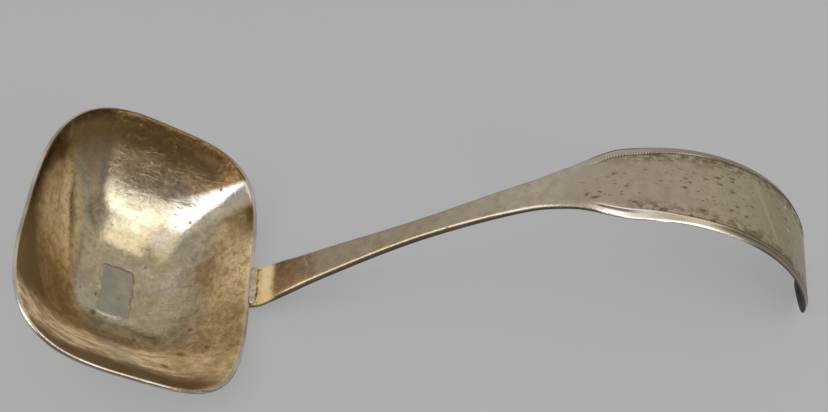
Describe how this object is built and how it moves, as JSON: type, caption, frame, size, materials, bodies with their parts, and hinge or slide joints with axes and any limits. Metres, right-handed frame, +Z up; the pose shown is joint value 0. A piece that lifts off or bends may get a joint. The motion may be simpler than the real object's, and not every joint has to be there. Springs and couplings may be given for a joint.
{
  "type": "sauce ladle",
  "caption": "Ladle with a rounded-square gilt bowl, a slim rising stem and a broad hooked handle end, resting on its bowl and on the end of the hook.",
  "frame": {"origin": "middle of the small flat worn into the outside of the bowl, on which the ladle stands on a table", "axes": "+X runs level from the bowl to the hooked end of the handle, +Y across the bowl, +Z up from the table"},
  "size_m": [0.1885, 0.0736, 0.0439],
  "materials": {
    "gilt_silver": "hammered silver with worn gilding inside, gold-brown on the walls and greyer on the floor",
    "silver": "polished silver with brown-grey tarnish, small dark spots and fine scratches",
    "solder": "dull grey solder with dark pinholes",
    "repair_plate": "dull blue-grey silver plate with dark edges"
  },
  "bodies": {
    "root": {"bowl": "gilt_silver", "handle": "silver", "handle_solder": "solder", "bowl_patch": "repair_plate", "patch_solder": "solder"}
  },
  "joints": []
}
